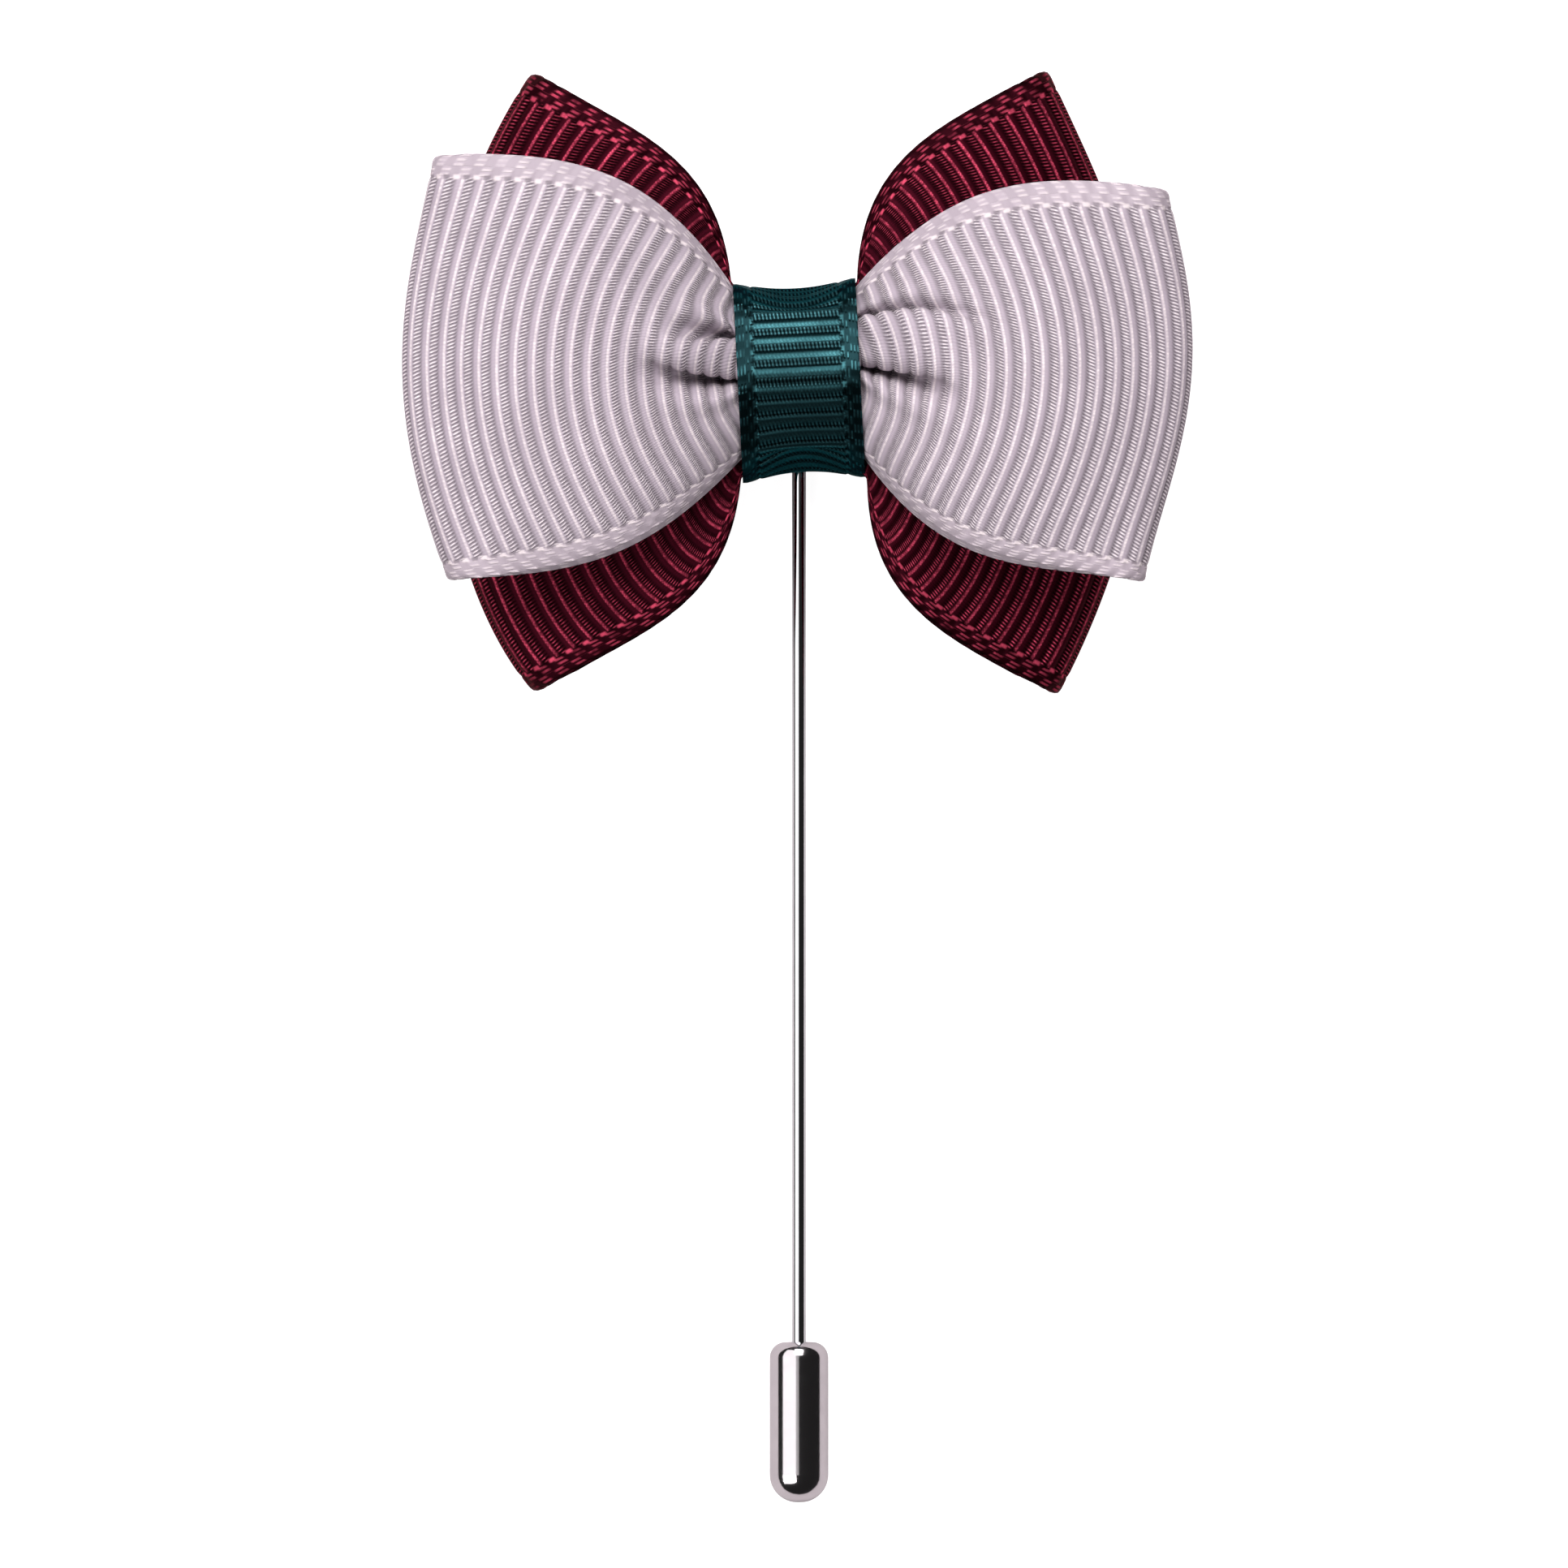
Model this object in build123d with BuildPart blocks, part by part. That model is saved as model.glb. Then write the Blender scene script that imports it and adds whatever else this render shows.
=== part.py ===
from build123d import *
from collections import namedtuple
from math import atan2, cos, exp, radians, sin, sqrt, tan
import os

os.makedirs("parts", exist_ok=True)

# A bow brooch on a stick pin, lying on its back. X runs along the bow, Y up the pin
# towards the bow, Z up from the surface. The pin's axis is in the plane X = 0.

# Ribbons, in millimetres
front_ribbon_width = 25.0     # lavender ribbon, nearest the eye
front_half_span = 22.95       # pin axis to the furthest point of a front lobe
back_ribbon_width = 38.0      # burgundy ribbon behind it
back_half_span = 20.9
ribbon_wall = 1.0             # thickness of the folded ribbons
layer_gap = 0.2               # between layers that lie on each other at the knot
front_fold_radius = 1.5       # middle of the wall, where a lobe turns back
back_fold_radius = 1.4
front_fold_lift = 2.5         # front bow's folds above its back layer at the knot
back_fold_level = 3.2         # back bow's folds above the surface
front_rise = 2.5              # how far the front bow's face domes between knot and fold
back_rise = 0.8
front_sag = 0.15              # how far the front bow's back layer hangs down
front_crease_depth = 1.2      # deepest pleat at the knot, in the front bow's face
back_crease_depth = 0.8       # the same in the back bow, seen from behind
front_mouth_height = 10.3     # where a lobe comes out of the wrap, selvedge to selvedge
back_mouth_height = 11.2
mouth_gap = 0.5               # between the wrap's edge and the mouth of a lobe
throat_length = 0.35          # where the gathered ribbon widens to the mouth
knot_drop = 0.9               # how far the front bow's selvedges lie below its middle

# Knot wrap
wrap_width = 7.1
wrap_height = 11.1
wrap_wall = 1.0
wrap_corner = 1.6             # outer radius at the back
wrap_shoulder = 1.8           # outer radius where the sides meet the crown
wrap_crown = 1.0              # how far the front face bulges
wrap_lean = 2.9               # degrees, the wrap's lower end leans towards +X
knot_side_gap = 0.45          # between the gathered ribbons and the wrap's inside

# Stick pin and its cap
shaft_radius = 0.4
shaft_reach = 55.8            # knot centre to the cap's mouth
shaft_past_knot = 3.0         # the soldered end beyond the knot centre
point_length = 6.0
point_radius = 0.12
pad_radius = 4.0
pad_thickness = 0.8
root_radius = 0.6             # the shaft's thick end, soldered to the pad
root_past_pad = 0.1           # where it thins to the shaft, beyond the pad's edge
root_taper = 0.4
weld_depth = 0.4              # how deep the root is let into the pad
pad_seat_gap = 0.25           # glue line between the pad and the wrap
cap_radius = 1.7
cap_length = 9.3
cap_shoulder = 0.9            # rounding at the mouth
cap_nose = 1.6                # rounding at the closed end
cap_bore_clearance = 0.05
cap_bore_depth = 7.0

# Facets of a ribbon: threads across it, and steps along one side of one lobe
front_threads = 20
back_threads = 16
face_steps = 10
fold_steps = 4
lead_pull = 0.48              # how long a thread keeps its heading at the knot, as a share
land_pull = 0.35              # the same at the fold

# One row for each of five threads, from the lower selvedge to the upper one. across is the
# place across the ribbon, out the fold's reach as a share of the half span, up its height
# as a share of half the ribbon's width, lead and land the headings in degrees at the knot
# and at the fold, crown and belly the shares of the rise and of the sag.
Thread = namedtuple("Thread", "across out up lead land crown belly")
front_left = [
    Thread(-1.0, 0.884, -0.940, -44, -8, 0.45, 0.4),
    Thread(-0.5, 0.962, -0.478, -25, -6, 0.88, 0.8),
    Thread(0.0, 1.000, 0.034, 0, 0, 1.00, 1.0),
    Thread(0.5, 0.976, 0.541, 29, 4, 0.88, 0.8),
    Thread(1.0, 0.921, 1.045, 57, 0, 0.45, 0.4),
]
front_right = [
    Thread(-1.0, 0.871, -0.947, -52, -12, 0.45, 0.4),
    Thread(-0.5, 0.932, -0.508, -29, -8, 0.88, 0.8),
    Thread(0.0, 0.986, -0.041, 0, -2, 1.00, 1.0),
    Thread(0.5, 0.980, 0.425, 24, 2, 0.88, 0.8),
    Thread(1.0, 0.929, 0.887, 49, -6, 0.45, 0.4),
]
back_left = [
    Thread(-1.0, 0.730, -0.952, -83, -31, 0.80, 0.5),
    Thread(-0.5, 0.938, -0.507, -42, -15, 1.00, 0.9),
    Thread(0.0, 1.000, 0.007, 0, 0, 1.00, 1.0),
    Thread(0.5, 0.938, 0.490, 42, 15, 1.00, 0.9),
    Thread(1.0, 0.730, 0.935, 83, 31, 0.80, 0.5),
]
back_right = [
    Thread(-1.0, 0.703, -0.957, -83, -31, 0.80, 0.5),
    Thread(-0.5, 0.890, -0.505, -42, -15, 1.00, 0.9),
    Thread(0.0, 0.957, 0.007, 0, 0, 1.00, 1.0),
    Thread(0.5, 0.871, 0.495, 42, 15, 1.00, 0.9),
    Thread(1.0, 0.669, 0.942, 83, 31, 0.80, 0.5),
]

# One row for each pleat at the knot. side is -1 for the left lobe, across its place,
# depth a share of the deepest pleat, width a share of half the ribbon, reach a share of
# the lobe. The front bow's are pressed into its face, the back bow's into its back.
Pleat = namedtuple("Pleat", "side across depth width reach")
front_pleats = [
    Pleat(-1, 0.4, 0.6, 0.11, 0.40),
    Pleat(-1, -0.1, 1.0, 0.13, 0.60),
    Pleat(1, 0.6, 0.6, 0.11, 0.50),
    Pleat(1, 0.1, 1.0, 0.13, 0.50),
]
back_pleats = [
    Pleat(-1, -0.5, 0.9, 0.16, 0.40),
    Pleat(-1, 0.0, 1.0, 0.16, 0.55),
    Pleat(-1, 0.5, 0.8, 0.16, 0.35),
    Pleat(1, -0.5, 0.8, 0.16, 0.35),
    Pleat(1, 0.0, 1.0, 0.16, 0.50),
    Pleat(1, 0.5, 0.9, 0.16, 0.45),
]

# Levels above the surface, stacked from the cap that rests on it
pin_level = cap_radius
pad_level = pin_level + root_radius - weld_depth
wrap_back = pad_level + pad_thickness + pad_seat_gap
layer_step = ribbon_wall + layer_gap
back_bow_back = wrap_back + wrap_wall + layer_gap + ribbon_wall / 2
back_bow_face = back_bow_back + back_crease_depth + layer_step
front_bow_back = back_bow_face + layer_step
front_bow_face = front_bow_back + layer_step + front_crease_depth
wrap_front = front_bow_face + ribbon_wall / 2 + layer_gap + wrap_wall

# Places along Y, so that the whole brooch is centred on the origin
root_reach = pad_radius + root_past_pad
top_reach = max(row.up for row in back_left + back_right) * back_ribbon_width / 2
knot_y = (shaft_reach + cap_length - top_reach) / 2
mouth_y = knot_y - shaft_reach
mouth_x = wrap_width / 2 + mouth_gap
knot_half = wrap_height / 2 - wrap_wall - knot_side_gap


def settle(back_level, fold_level):
    # sag that brings the lowest thread of a hanging layer down to the surface
    fall = back_level - fold_level
    drop = (back_level + fold_level - ribbon_wall) / 2
    return (drop + sqrt(drop**2 - fall**2 / 4)) / 2


# What a bow is worked out from: face and back are the levels of its two layers at the
# knot, fold that of its folds, face_crease and back_crease the depths of their pleats.
front_sizes = {
    "width": front_ribbon_width,
    "half_span": front_half_span,
    "mouth": front_mouth_height,
    "threads": front_threads,
    "face": front_bow_face,
    "back": front_bow_back,
    "drop": knot_drop,
    "fold": front_bow_back + front_fold_lift,
    "radius": front_fold_radius,
    "rise": front_rise,
    "sag": front_sag,
    "rows": {-1: front_left, 1: front_right},
    "pleats": front_pleats,
    "face_crease": front_crease_depth,
    "back_crease": 0,
}
back_sizes = {
    "width": back_ribbon_width,
    "half_span": back_half_span,
    "mouth": back_mouth_height,
    "threads": back_threads,
    "face": back_bow_face,
    "back": back_bow_back,
    "drop": 0,
    "fold": back_fold_level,
    "radius": back_fold_radius,
    "rise": back_rise,
    "sag": settle(back_bow_back, back_fold_level - back_fold_radius),
    "rows": {-1: back_left, 1: back_right},
    "pleats": back_pleats,
    "face_crease": 0,
    "back_crease": back_crease_depth,
}


def blend(rows, column, across):
    # smooth curve through one column of a table
    total = 0
    for row in rows:
        weight = 1
        for other in rows:
            if other is not row:
                weight *= (across - other.across) / (row.across - other.across)
        total += weight * getattr(row, column)
    return total


def heading(degrees):
    return Vector(cos(radians(degrees)), sin(radians(degrees)))


def plan_curve(start, lead, end, land, share):
    # cubic seen from above, from the knot to the fold
    span = (end - start).length
    first = start + lead * (lead_pull * span)
    second = end - land * (land_pull * span)
    rest = 1 - share
    ends = start * rest**3 + end * share**3
    return ends + first * (3 * rest**2 * share) + second * (3 * rest * share**2)


def pleat_depth(bow, side, across, share):
    # how deep the pleats are at one place, as a share of the deepest
    depth = 0
    for pleat in bow["pleats"]:
        if pleat.side == side and share < pleat.reach:
            fade = (1 - share / pleat.reach) ** 2
            place = (across - pleat.across) / pleat.width
            depth += pleat.depth * fade * exp(-(place**2))
    return depth


def knot_point(side, x, y):
    # a place at the knot, leaning with the wrap
    return Vector(x - side * tan(radians(wrap_lean)) * y, y)


def lobe_thread(bow, side, across):
    # middle line of one thread, out along the face, round the fold, back behind
    rows = bow["rows"][side]
    lead = heading(blend(rows, "lead", across))
    land = heading(blend(rows, "land", across))
    rise = bow["rise"] * blend(rows, "crown", across)
    sag = bow["sag"] * blend(rows, "belly", across)
    throat = knot_point(side, mouth_x - throat_length, across * knot_half)
    start = knot_point(side, mouth_x, across * bow["mouth"] / 2)
    reach = bow["half_span"] * blend(rows, "out", across)
    height = bow["width"] / 2 * blend(rows, "up", across)
    radius = bow["radius"]
    fold = Vector(reach, height) - land * (ribbon_wall / 2 + radius)
    run = 3 * land_pull * (fold - start).length
    face = bow["face"] - bow["drop"] * across**2
    face_turn = atan2(run, 4 * rise - (bow["fold"] + radius - face))
    back_turn = atan2(run, 4 * sag + (bow["fold"] - radius - bow["back"]))
    face_layer = (face, rise, face_turn, -bow["face_crease"])
    back_layer = (bow["back"], -sag, -back_turn, bow["back_crease"])
    sheets = []
    for level, bulge, turn, crease in (face_layer, back_layer):
        end = fold + land * (radius * cos(turn))
        end_level = bow["fold"] + radius * sin(turn)
        throat_level = level + crease * pleat_depth(bow, side, across, 0)
        sheet = [Vector(side * throat.X, knot_y + throat.Y, throat_level)]
        for step in range(face_steps + 1):
            share = step / face_steps
            flat = plan_curve(start, lead, end, land, share)
            z = level + (end_level - level) * share + 4 * bulge * share * (1 - share)
            z += crease * pleat_depth(bow, side, across, share)
            sheet.append(Vector(side * flat.X, knot_y + flat.Y, z))
        sheets.append(sheet)
    arc = []
    for step in range(1, fold_steps):
        turn = face_turn - (face_turn + back_turn) * step / fold_steps
        flat = fold + land * (radius * cos(turn))
        arc.append(Vector(side * flat.X, knot_y + flat.Y, bow["fold"] + radius * sin(turn)))
    return sheets[0] + arc + sheets[1][::-1]


def ribbon_ring(bow):
    # closed ribbon: offsets of the middle surface, joined along both selvedges
    last = bow["threads"]
    places = [2 * step / last - 1 for step in range(last + 1)]
    middle = [
        lobe_thread(bow, 1, across) + lobe_thread(bow, -1, across)[::-1]
        for across in places
    ]
    around = len(middle[0])
    outer = []
    inner = []
    for row in range(last + 1):
        below = middle[max(row - 1, 0)]
        above = middle[min(row + 1, last)]
        outer_row = []
        inner_row = []
        for step in range(around):
            along = middle[row][(step + 1) % around] - middle[row][step - 1]
            shift = along.cross(above[step] - below[step]).normalized() * (ribbon_wall / 2)
            outer_row.append(middle[row][step] + shift)
            inner_row.append(middle[row][step] - shift)
        outer.append(outer_row)
        inner.append(inner_row)
    strips = [(inner[0], outer[0]), (outer[last], inner[last])]
    for row in range(last):
        strips.append((outer[row], outer[row + 1]))
        strips.append((inner[row + 1], inner[row]))
    faces = []
    for low, high in strips:
        for step in range(around):
            after = (step + 1) % around
            faces.append(Face(Wire.make_polygon([low[step], low[after], high[after]])))
            faces.append(Face(Wire.make_polygon([low[step], high[after], high[step]])))
    return Solid(Shell(faces))


# Bows
front_ring = ribbon_ring(front_sizes)
with BuildPart() as front_bow:
    add(front_ring)

back_ring = ribbon_ring(back_sizes)
with BuildPart() as back_bow:
    add(back_ring)

# Knot wrap, a band round both bows
wrap_side = wrap_height / 2
wrap_shoulder_level = wrap_front - wrap_crown
wrap_normal = (cos(radians(wrap_lean)), sin(radians(wrap_lean)), 0)
wrap_across = (-sin(radians(wrap_lean)), cos(radians(wrap_lean)), 0)
wrap_plane = Plane(origin=(0, knot_y, 0), x_dir=wrap_across, z_dir=wrap_normal)
with BuildPart() as knot_wrap:
    with BuildSketch(wrap_plane) as wrap_section:
        with BuildLine():
            Polyline(
                (wrap_side, wrap_shoulder_level),
                (wrap_side, wrap_back),
                (-wrap_side, wrap_back),
                (-wrap_side, wrap_shoulder_level),
            )
            ThreePointArc(
                (-wrap_side, wrap_shoulder_level),
                (0, wrap_front),
                (wrap_side, wrap_shoulder_level),
            )
        make_face()
        fillet(wrap_section.vertices().group_by(Axis.Y)[0], wrap_corner)
        fillet(wrap_section.vertices().group_by(Axis.Y)[-1], wrap_shoulder)
        offset(amount=-wrap_wall, mode=Mode.SUBTRACT)
    extrude(amount=wrap_width / 2, both=True)

# Stick pin, its glue pad soldered on behind the knot
pin_plane = Plane(origin=(0, knot_y, pin_level), x_dir=(1, 0, 0), z_dir=(0, 0, 1))
pin_axis = Axis((0, knot_y, pin_level), (0, 1, 0))
with BuildPart() as stick_pin:
    with BuildSketch(pin_plane):
        with BuildLine():
            Polyline(
                (0, shaft_past_knot),
                (root_radius, shaft_past_knot),
                (root_radius, root_taper - root_reach),
                (shaft_radius, -root_reach),
                (shaft_radius, -shaft_reach),
                (point_radius, -shaft_reach - point_length),
                (0, -shaft_reach - point_length),
                close=True,
            )
        make_face()
    revolve(axis=pin_axis)
    with BuildSketch(Plane((0, knot_y, pad_level))):
        Circle(pad_radius)
    extrude(amount=pad_thickness)

# Cap on the point of the pin
cap_plane = Plane(origin=(0, mouth_y, pin_level), x_dir=(1, 0, 0), z_dir=(0, -1, 0))
with BuildPart() as pin_cap:
    with BuildSketch(cap_plane):
        Circle(cap_radius)
    extrude(amount=cap_length)
    rims = pin_cap.edges().filter_by(GeomType.CIRCLE).sort_by(Axis.Y)
    fillet(rims[-1], cap_shoulder)
    fillet(rims[0], cap_nose)
    with BuildSketch(cap_plane):
        Circle(shaft_radius + cap_bore_clearance)
    extrude(amount=cap_bore_depth, mode=Mode.SUBTRACT)

front_bow.part.label = "front_bow"
export_step(front_bow.part, "parts/front_bow.step")
back_bow.part.label = "back_bow"
export_step(back_bow.part, "parts/back_bow.step")
knot_wrap.part.label = "knot_wrap"
export_step(knot_wrap.part, "parts/knot_wrap.step")
stick_pin.part.label = "stick_pin"
export_step(stick_pin.part, "parts/stick_pin.step")
pin_cap.part.label = "pin_cap"
export_step(pin_cap.part, "parts/pin_cap.step")
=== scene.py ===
import bpy
import numpy as np
from math import cos, pi, radians, sin, tan
from mathutils import Matrix, Vector


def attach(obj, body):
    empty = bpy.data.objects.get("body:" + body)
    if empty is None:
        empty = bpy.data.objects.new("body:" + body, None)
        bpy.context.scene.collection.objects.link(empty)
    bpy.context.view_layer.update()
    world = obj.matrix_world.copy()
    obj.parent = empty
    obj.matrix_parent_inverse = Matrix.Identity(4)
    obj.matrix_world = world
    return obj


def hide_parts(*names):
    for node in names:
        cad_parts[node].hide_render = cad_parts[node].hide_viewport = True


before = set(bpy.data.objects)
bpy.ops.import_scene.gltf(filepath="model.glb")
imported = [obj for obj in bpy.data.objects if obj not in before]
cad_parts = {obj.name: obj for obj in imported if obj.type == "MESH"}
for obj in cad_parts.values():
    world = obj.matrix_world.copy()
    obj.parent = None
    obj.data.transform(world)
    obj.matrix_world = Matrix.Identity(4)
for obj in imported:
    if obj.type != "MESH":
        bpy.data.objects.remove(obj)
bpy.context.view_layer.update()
mm = 0.001                    # lengths below are in millimetres
fullTurn = 2 * pi

# The knot, shared by both bows and the wrap
knot = {
    "y": 23.601,              # centre of the knot along the pin
    "lean": 2.9,              # degrees, lower end towards +X
    "edge": 3.62,             # where the lobes come out of the wrap
    "inside": 2.4,            # how far in the gathered ribbons are drawn
}

# Both bows: one row for each of five threads, lower selvedge to upper. out and up place
# the fold, lead and land are headings at the knot and the fold, crown and belly share out
# the rise and the sag, ribs counts the ribs from the fold to the knot.
threadColumns = ["across", "out", "up", "lead", "land", "crown", "belly", "ribs"]
# A pleat runs from across at the knot to end at its reach along the lobe. over is 1 where
# the cloth above it rolls over it and -1 where the cloth below does; hook draws the ribs in.
pleatColumns = ["side", "across", "end", "reach", "depth", "width", "over", "hook"]

frontBow = {
    "width": 25.0,
    "halfSpan": 22.95,
    "mouthHalf": 5.05,
    "mouthShift": 0.42,       # lobes leave the wrap a little above its middle
    "throatHalf": 4.0,
    "throatDrop": 1.2,        # the gathered cloth inside the wrap lies lower at its edges
    "thickness": 0.5,
    "face": 10.5,             # level of the face layer's middle at the knot
    "back": 7.6,
    "drop": 2.1,              # selvedges lie lower at the knot
    "dropReach": 0.5,
    "pinch": 0.32,            # the wrap presses the cloth down
    "foldLevel": 10.35,
    "foldRadius": 1.3,
    "corner": 0.35,           # radius of the fold's two corners
    "rise": 2.5,
    "sag": 0.15,
    "relief": 0.18,           # height of a rib
    "band": 1.35,             # plain selvedge band
    "faceCrease": 2.9,
    "backCrease": 0.0,
    "puff": 0.27,             # how far the cloth beside a pleat stands up
    "rim": 0.14,              # and the cloth below it
    "pocket": 0.35,           # how much wider a pleat is a little way out
    "backSpread": 0.3,
    "laneStep": 0.52,
    "fineStep": 0.24,
    "lobes": {
        -1: [
            (-1.0, 0.884, -0.940, -44, -8, 0.22, 0.4, 18.4),
            (-0.5, 0.962, -0.478, -25, -6, 0.82, 0.8, 19.4),
            (0.0, 1.000, 0.034, 0, 0, 1.00, 1.0, 20.0),
            (0.5, 0.976, 0.541, 29, 4, 0.82, 0.8, 19.0),
            (1.0, 0.921, 1.045, 57, 0, 0.22, 0.4, 17.7),
        ],
        1: [
            (-1.0, 0.871, -0.947, -52, -12, 0.22, 0.4, 18.6),
            (-0.5, 0.932, -0.508, -29, -8, 0.82, 0.8, 19.4),
            (0.0, 0.986, -0.041, 0, -2, 1.00, 1.0, 20.0),
            (0.5, 0.980, 0.425, 24, 2, 0.82, 0.8, 19.2),
            (1.0, 0.929, 0.887, 49, -6, 0.22, 0.4, 18.2),
        ],
    },
    "pleats": [
        (-1, 0.39, 0.33, 0.20, 0.65, 0.060, -1, 0.9),
        (-1, -0.05, 0.03, 0.29, 1.05, 0.085, 1, 0.15),
        (1, 0.62, 0.24, 0.44, 0.45, 0.048, -1, 0.2),
        (1, 0.10, -0.20, 0.30, 1.05, 0.085, 1, 0.3),
    ],
}
backBow = {
    "width": 38.0,
    "halfSpan": 20.9,
    "mouthHalf": 5.7,
    "mouthShift": 0.0,
    "throatHalf": 4.1,
    "throatDrop": 0.0,
    "thickness": 0.5,
    "face": 6.85,
    "back": 4.4,
    "drop": 0.0,
    "dropReach": 0.5,
    "pinch": 0.0,
    "foldLevel": 3.8,
    "foldRadius": 1.8,
    "corner": 0.5,
    "rise": 0.7,
    "sag": 1.05,
    "relief": 0.17,
    "band": 1.45,
    "faceCrease": 0.0,
    "backCrease": 0.8,
    "puff": 0.1,
    "rim": 0.05,
    "pocket": 0.0,
    "backSpread": 0.0,
    "laneStep": 0.62,
    "fineStep": 0.5,
    "lobes": {
        -1: [
            (-1.0, 0.730, -0.960, -84, -31, 0.80, 0.5, 17.0),
            (-0.5, 0.938, -0.507, -42, -15, 1.00, 0.9, 18.0),
            (0.0, 1.000, 0.007, 0, 0, 1.00, 1.0, 17.0),
            (0.5, 0.938, 0.490, 42, 15, 1.00, 0.9, 18.0),
            (1.0, 0.738, 0.950, 84, 31, 0.80, 0.5, 17.0),
        ],
        1: [
            (-1.0, 0.716, -0.968, -89, -29, 0.80, 0.5, 17.0),
            (-0.5, 0.890, -0.505, -42, -15, 1.00, 0.9, 17.5),
            (0.0, 0.957, 0.007, 0, 0, 1.00, 1.0, 16.5),
            (0.5, 0.871, 0.495, 42, 15, 1.00, 0.9, 17.5),
            (1.0, 0.687, 0.958, 88, 29, 0.80, 0.5, 17.0),
        ],
    },
    "pleats": [
        (-1, -0.5, -0.5, 0.45, 0.9, 0.13, 1, 0.0),
        (-1, 0.0, 0.05, 0.60, 1.0, 0.13, -1, 0.0),
        (-1, 0.5, 0.5, 0.40, 0.8, 0.13, -1, 0.0),
        (1, -0.5, -0.5, 0.40, 0.8, 0.13, 1, 0.0),
        (1, 0.0, -0.05, 0.55, 1.0, 0.13, 1, 0.0),
        (1, 0.5, 0.5, 0.50, 0.9, 0.13, -1, 0.0),
    ],
}

# How every lobe is worked out
lobeForm = {
    "faceSamples": 140,
    "foldSamples": 28,
    "neckSamples": 7,         # inside the wrap
    "leadPull": 0.48,         # how far the headings at the knot and at the fold carry, as
    "landPull": 0.35,         # shares of the lobe's length
    "dropPower": 3,
    "dropFade": 1.5,
    "pinchReach": 0.17,
    "spreadFrom": -0.4,       # the back layer is wider from here to the lower selvedge
}

# How every pleat is shaped: the forms beside it have their place and width in widths of
# the pleat, counted from its middle towards the cloth that rolls over it
pleatForm = {
    "pocketAt": 0.25,         # share of its reach where a pleat is widest
    "puffAtKnot": 0.2,
    "puffReach": 0.14,
    "steep": 1.3,             # how much steeper the far side is
    "puff": (2.4, 1.2),
    "rim": (-2.1, 0.75),
    "hook": (-1.0, 1.6),
    "lipAt": 1.3,
    "lipNear": 0.7,
    "lipFar": 1.9,
    "lip": 1.6,
    "fineAt": 0.35,           # lines along the ribs stand closest here
    "fineReach": 1.15,
}

# How the woven edge of both bows stands up, in shares of a rib's height
bowSelvedge = {
    "lanes": [0.0, 0.1, 0.3, 0.55, 0.75, 1.0],
    "bandLanes": [-0.2, -0.05, 0.1, 0.35],     # beside the first rib's end
    "inner": (-0.1, 0.15),    # the ribs end here, from the band's inner side
    "outerRow": 0.5,          # this share of the band has its bundles between the ribs
    "level": 0.45,
    "bundle": 0.4,
    "groove": (0.3, 0.12),    # depth and width
    "rim": (0.5, 0.25),
}

laneSamples = 2000            # places tried for the lines along the ribs of a bow
sectionSteps = 60             # between two points of the wrap's section

# One rib from groove to groove: place along it and height
ribPhases = np.array([0.0, 0.13, 0.3, 0.5, 0.7, 0.87])
ribHeights = np.array([0.0, 0.62, 0.94, 1.0, 0.94, 0.62])
clothLevel = 0.8              # height on a rib that counts as the ribbon's own surface


def smoothStep(low, high, value):
    share = np.clip((value - low) / (high - low), 0, 1)
    return share * share * (3 - 2 * share)


def bell(value, middle, width):
    # 1 at the middle, fading to both sides
    return np.exp(-(((value - middle) / width) ** 2))


def knotPoint(side, x, y):
    # a place at the knot, leaning with the wrap
    return np.stack([np.full_like(y, x) - side * tan(radians(knot["lean"])) * y, y], axis=-1)


def heading(degrees):
    return np.stack([np.cos(np.radians(degrees)), np.sin(np.radians(degrees))], -1)


def laneValues(bow, side, across):
    # every column of the thread table, as a smooth curve over the ribbon's width
    rows = np.array(bow["lobes"][side])
    values = {}
    for index, name in enumerate(threadColumns):
        values[name] = np.polyval(np.polyfit(rows[:, 0], rows[:, index], len(rows) - 1), across)
    return values


def pleatShape(bow, side, across, share):
    # depth of the pleats, how far their lips roll over them across the ribbon, and how far
    # the ribs are drawn towards the knot beside them
    form = pleatForm
    depth = np.zeros(np.broadcast(across, share).shape)
    roll = np.zeros_like(depth)
    hook = np.zeros_like(depth)
    puff = form["puffAtKnot"] + (1 - form["puffAtKnot"]) * smoothStep(0.0, form["puffReach"], share)
    for row in bow["pleats"]:
        pleat = dict(zip(pleatColumns, row))
        if pleat["side"] != side:
            continue
        along = np.clip(share / pleat["reach"], 0, 1)
        fade = (1 - along**2) ** 2
        middle = pleat["across"] + (pleat["end"] - pleat["across"]) * along
        pocket = along / form["pocketAt"]
        width = pleat["width"] * (1 + bow["pocket"] * pocket * np.exp(1 - pocket))
        place = pleat["over"] * (across - middle) / width
        deep = pleat["depth"] * fade
        depth += deep * bell(place * np.where(place < 0, form["steep"], 1), 0, 1)
        depth -= bow["puff"] * puff * deep * bell(place, *form["puff"])
        depth -= bow["rim"] * deep * bell(place, *form["rim"])
        blunt = np.where(place > form["lipAt"], form["lipFar"], form["lipNear"])
        roll -= pleat["over"] * form["lip"] * width * fade * bell(place, form["lipAt"], blunt)
        hook += pleat["hook"] * fade * bell(place, *form["hook"])
    return depth, roll, hook


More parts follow.
